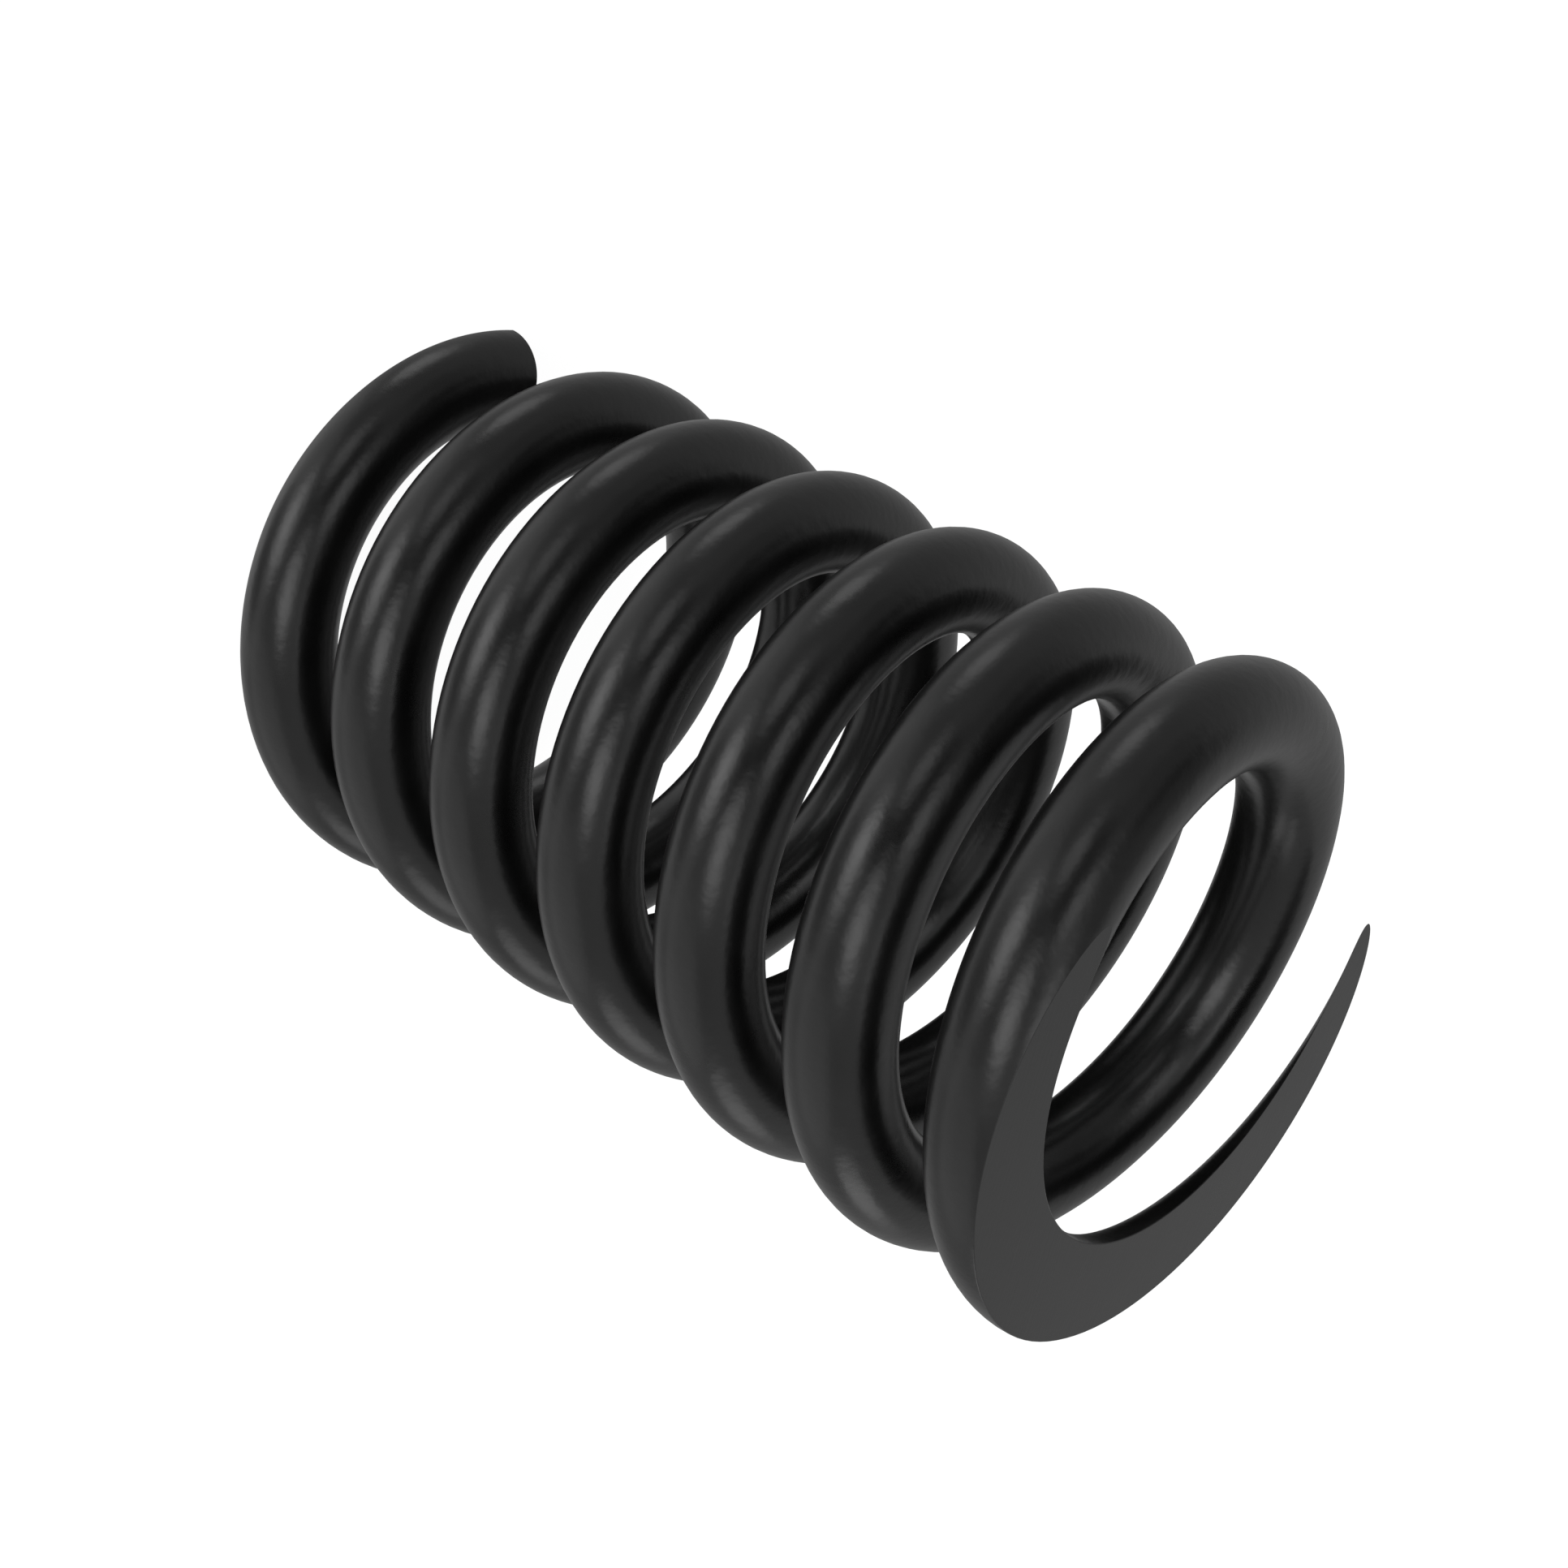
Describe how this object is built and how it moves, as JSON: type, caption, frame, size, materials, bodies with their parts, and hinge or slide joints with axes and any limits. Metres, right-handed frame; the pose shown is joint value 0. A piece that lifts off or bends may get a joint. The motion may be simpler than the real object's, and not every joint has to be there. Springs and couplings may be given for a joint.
{
  "type": "compression coil spring",
  "caption": "Right-handed open-coiled compression spring of round, black-coated wire with both ends ground flat, for a coil-over suspension unit.",
  "frame": {"origin": "centre of the lower seat plane, where the spring's axis meets the lower ground face's plane", "axes": "+Z along the spring's axis from the lower ground end to the upper ground end; +X through the place where the wire's centre line crosses the lower seat plane, 1 mm from the wire's lower tip"},
  "size_m": [0.0908, 0.0908, 0.15],
  "materials": {
    "black_coating": "satin"
  },
  "bodies": {
    "lower_end": {"lower_ground_end": "black_coating"},
    "coil_1_quarter_1": {"coil_1_quarter_1": "black_coating"},
    "coil_1_quarter_2": {"coil_1_quarter_2": "black_coating"},
    "coil_1_quarter_3": {"coil_1_quarter_3": "black_coating"},
    "coil_1_quarter_4": {"coil_1_quarter_4": "black_coating"},
    "coil_2_quarter_1": {"coil_2_quarter_1": "black_coating"},
    "coil_2_quarter_2": {"coil_2_quarter_2": "black_coating"},
    "coil_2_quarter_3": {"coil_2_quarter_3": "black_coating"},
    "coil_2_quarter_4": {"coil_2_quarter_4": "black_coating"},
    "coil_3_quarter_1": {"coil_3_quarter_1": "black_coating"},
    "coil_3_quarter_2": {"coil_3_quarter_2": "black_coating"},
    "coil_3_quarter_3": {"coil_3_quarter_3": "black_coating"},
    "coil_3_quarter_4": {"coil_3_quarter_4": "black_coating"},
    "coil_4_quarter_1": {"coil_4_quarter_1": "black_coating"},
    "coil_4_quarter_2": {"coil_4_quarter_2": "black_coating"},
    "coil_4_quarter_3": {"coil_4_quarter_3": "black_coating"},
    "coil_4_quarter_4": {"coil_4_quarter_4": "black_coating"},
    "coil_5_quarter_1": {"coil_5_quarter_1": "black_coating"},
    "coil_5_quarter_2": {"coil_5_quarter_2": "black_coating"},
    "coil_5_quarter_3": {"coil_5_quarter_3": "black_coating"},
    "coil_5_quarter_4": {"coil_5_quarter_4": "black_coating"},
    "coil_6_quarter_1": {"coil_6_quarter_1": "black_coating"},
    "coil_6_quarter_2": {"coil_6_quarter_2": "black_coating"},
    "coil_6_quarter_3": {"coil_6_quarter_3": "black_coating"},
    "upper_end": {"upper_ground_end": "black_coating"}
  },
  "joints": [
    {"name": "compression", "type": "slide", "parent": "lower_end", "child": "upper_end", "axis": [0, 0, 1], "range_m": [-0.0483, 0], "stiffness_N_per_m": 165000},
    {"name": "coil_1_quarter_1_travel", "type": "slide", "parent": "lower_end", "child": "coil_1_quarter_1", "axis": [0, 0, 1], "range_m": [-0.00211, 0], "stiffness_N_per_m": 8890, "springref_m": 0.0023},
    {"name": "coil_1_quarter_2_travel", "type": "slide", "parent": "coil_1_quarter_1", "child": "coil_1_quarter_2", "axis": [0, 0, 1], "range_m": [-0.00211, 0], "stiffness_N_per_m": 8500, "springref_m": 0.0023},
    {"name": "coil_1_quarter_3_travel", "type": "slide", "parent": "coil_1_quarter_2", "child": "coil_1_quarter_3", "axis": [0, 0, 1], "range_m": [-0.00211, 0], "stiffness_N_per_m": 8120, "springref_m": 0.0023},
    {"name": "coil_1_quarter_4_travel", "type": "slide", "parent": "coil_1_quarter_3", "child": "coil_1_quarter_4", "axis": [0, 0, 1], "range_m": [-0.00211, 0], "stiffness_N_per_m": 7730, "springref_m": 0.0023},
    {"name": "coil_2_quarter_1_travel", "type": "slide", "parent": "coil_1_quarter_4", "child": "coil_2_quarter_1", "axis": [0, 0, 1], "range_m": [-0.00211, 0], "stiffness_N_per_m": 7340, "springref_m": 0.0023},
    {"name": "coil_2_quarter_2_travel", "type": "slide", "parent": "coil_2_quarter_1", "child": "coil_2_quarter_2", "axis": [0, 0, 1], "range_m": [-0.00211, 0], "stiffness_N_per_m": 6960, "springref_m": 0.0023},
    {"name": "coil_2_quarter_3_travel", "type": "slide", "parent": "coil_2_quarter_2", "child": "coil_2_quarter_3", "axis": [0, 0, 1], "range_m": [-0.00211, 0], "stiffness_N_per_m": 6570, "springref_m": 0.0023},
    {"name": "coil_2_quarter_4_travel", "type": "slide", "parent": "coil_2_quarter_3", "child": "coil_2_quarter_4", "axis": [0, 0, 1], "range_m": [-0.00211, 0], "stiffness_N_per_m": 6180, "springref_m": 0.0023},
    {"name": "coil_3_quarter_1_travel", "type": "slide", "parent": "coil_2_quarter_4", "child": "coil_3_quarter_1", "axis": [0, 0, 1], "range_m": [-0.00211, 0], "stiffness_N_per_m": 5800, "springref_m": 0.0023},
    {"name": "coil_3_quarter_2_travel", "type": "slide", "parent": "coil_3_quarter_1", "child": "coil_3_quarter_2", "axis": [0, 0, 1], "range_m": [-0.00211, 0], "stiffness_N_per_m": 5410, "springref_m": 0.0023},
    {"name": "coil_3_quarter_3_travel", "type": "slide", "parent": "coil_3_quarter_2", "child": "coil_3_quarter_3", "axis": [0, 0, 1], "range_m": [-0.00211, 0], "stiffness_N_per_m": 5020, "springref_m": 0.0023},
    {"name": "coil_3_quarter_4_travel", "type": "slide", "parent": "coil_3_quarter_3", "child": "coil_3_quarter_4", "axis": [0, 0, 1], "range_m": [-0.00211, 0], "stiffness_N_per_m": 4640, "springref_m": 0.0023},
    {"name": "coil_4_quarter_1_travel", "type": "slide", "parent": "coil_3_quarter_4", "child": "coil_4_quarter_1", "axis": [0, 0, 1], "range_m": [-0.00211, 0], "stiffness_N_per_m": 4250, "springref_m": 0.0023},
    {"name": "coil_4_quarter_2_travel", "type": "slide", "parent": "coil_4_quarter_1", "child": "coil_4_quarter_2", "axis": [0, 0, 1], "range_m": [-0.00211, 0], "stiffness_N_per_m": 3870, "springref_m": 0.0023},
    {"name": "coil_4_quarter_3_travel", "type": "slide", "parent": "coil_4_quarter_2", "child": "coil_4_quarter_3", "axis": [0, 0, 1], "range_m": [-0.00211, 0], "stiffness_N_per_m": 3480, "springref_m": 0.0023},
    {"name": "coil_4_quarter_4_travel", "type": "slide", "parent": "coil_4_quarter_3", "child": "coil_4_quarter_4", "axis": [0, 0, 1], "range_m": [-0.00211, 0], "stiffness_N_per_m": 3090, "springref_m": 0.0023},
    {"name": "coil_5_quarter_1_travel", "type": "slide", "parent": "coil_4_quarter_4", "child": "coil_5_quarter_1", "axis": [0, 0, 1], "range_m": [-0.00211, 0], "stiffness_N_per_m": 2710, "springref_m": 0.0023},
    {"name": "coil_5_quarter_2_travel", "type": "slide", "parent": "coil_5_quarter_1", "child": "coil_5_quarter_2", "axis": [0, 0, 1], "range_m": [-0.00211, 0], "stiffness_N_per_m": 2320, "springref_m": 0.0023},
    {"name": "coil_5_quarter_3_travel", "type": "slide", "parent": "coil_5_quarter_2", "child": "coil_5_quarter_3", "axis": [0, 0, 1], "range_m": [-0.00211, 0], "stiffness_N_per_m": 1930, "springref_m": 0.0023},
    {"name": "coil_5_quarter_4_travel", "type": "slide", "parent": "coil_5_quarter_3", "child": "coil_5_quarter_4", "axis": [0, 0, 1], "range_m": [-0.00211, 0], "stiffness_N_per_m": 1550, "springref_m": 0.0023},
    {"name": "coil_6_quarter_1_travel", "type": "slide", "parent": "coil_5_quarter_4", "child": "coil_6_quarter_1", "axis": [0, 0, 1], "range_m": [-0.00211, 0], "stiffness_N_per_m": 1160, "springref_m": 0.0023},
    {"name": "coil_6_quarter_2_travel", "type": "slide", "parent": "coil_6_quarter_1", "child": "coil_6_quarter_2", "axis": [0, 0, 1], "range_m": [-0.00211, 0], "stiffness_N_per_m": 770, "springref_m": 0.0023},
    {"name": "coil_6_quarter_3_travel", "type": "slide", "parent": "coil_6_quarter_2", "child": "coil_6_quarter_3", "axis": [0, 0, 1], "range_m": [-0.00211, 0], "stiffness_N_per_m": 390, "springref_m": 0.0023}
  ],
  "couplings": [
    {"joint": "coil_1_quarter_1_travel", "follows": "compression", "ratio": 0.043478},
    {"joint": "coil_1_quarter_2_travel", "follows": "compression", "ratio": 0.043478},
    {"joint": "coil_1_quarter_3_travel", "follows": "compression", "ratio": 0.043478},
    {"joint": "coil_1_quarter_4_travel", "follows": "compression", "ratio": 0.043478},
    {"joint": "coil_2_quarter_1_travel", "follows": "compression", "ratio": 0.043478},
    {"joint": "coil_2_quarter_2_travel", "follows": "compression", "ratio": 0.043478},
    {"joint": "coil_2_quarter_3_travel", "follows": "compression", "ratio": 0.043478},
    {"joint": "coil_2_quarter_4_travel", "follows": "compression", "ratio": 0.043478},
    {"joint": "coil_3_quarter_1_travel", "follows": "compression", "ratio": 0.043478},
    {"joint": "coil_3_quarter_2_travel", "follows": "compression", "ratio": 0.043478},
    {"joint": "coil_3_quarter_3_travel", "follows": "compression", "ratio": 0.043478},
    {"joint": "coil_3_quarter_4_travel", "follows": "compression", "ratio": 0.043478},
    {"joint": "coil_4_quarter_1_travel", "follows": "compression", "ratio": 0.043478},
    {"joint": "coil_4_quarter_2_travel", "follows": "compression", "ratio": 0.043478},
    {"joint": "coil_4_quarter_3_travel", "follows": "compression", "ratio": 0.043478},
    {"joint": "coil_4_quarter_4_travel", "follows": "compression", "ratio": 0.043478},
    {"joint": "coil_5_quarter_1_travel", "follows": "compression", "ratio": 0.043478},
    {"joint": "coil_5_quarter_2_travel", "follows": "compression", "ratio": 0.043478},
    {"joint": "coil_5_quarter_3_travel", "follows": "compression", "ratio": 0.043478},
    {"joint": "coil_5_quarter_4_travel", "follows": "compression", "ratio": 0.043478},
    {"joint": "coil_6_quarter_1_travel", "follows": "compression", "ratio": 0.043478},
    {"joint": "coil_6_quarter_2_travel", "follows": "compression", "ratio": 0.043478},
    {"joint": "coil_6_quarter_3_travel", "follows": "compression", "ratio": 0.043478}
  ]
}
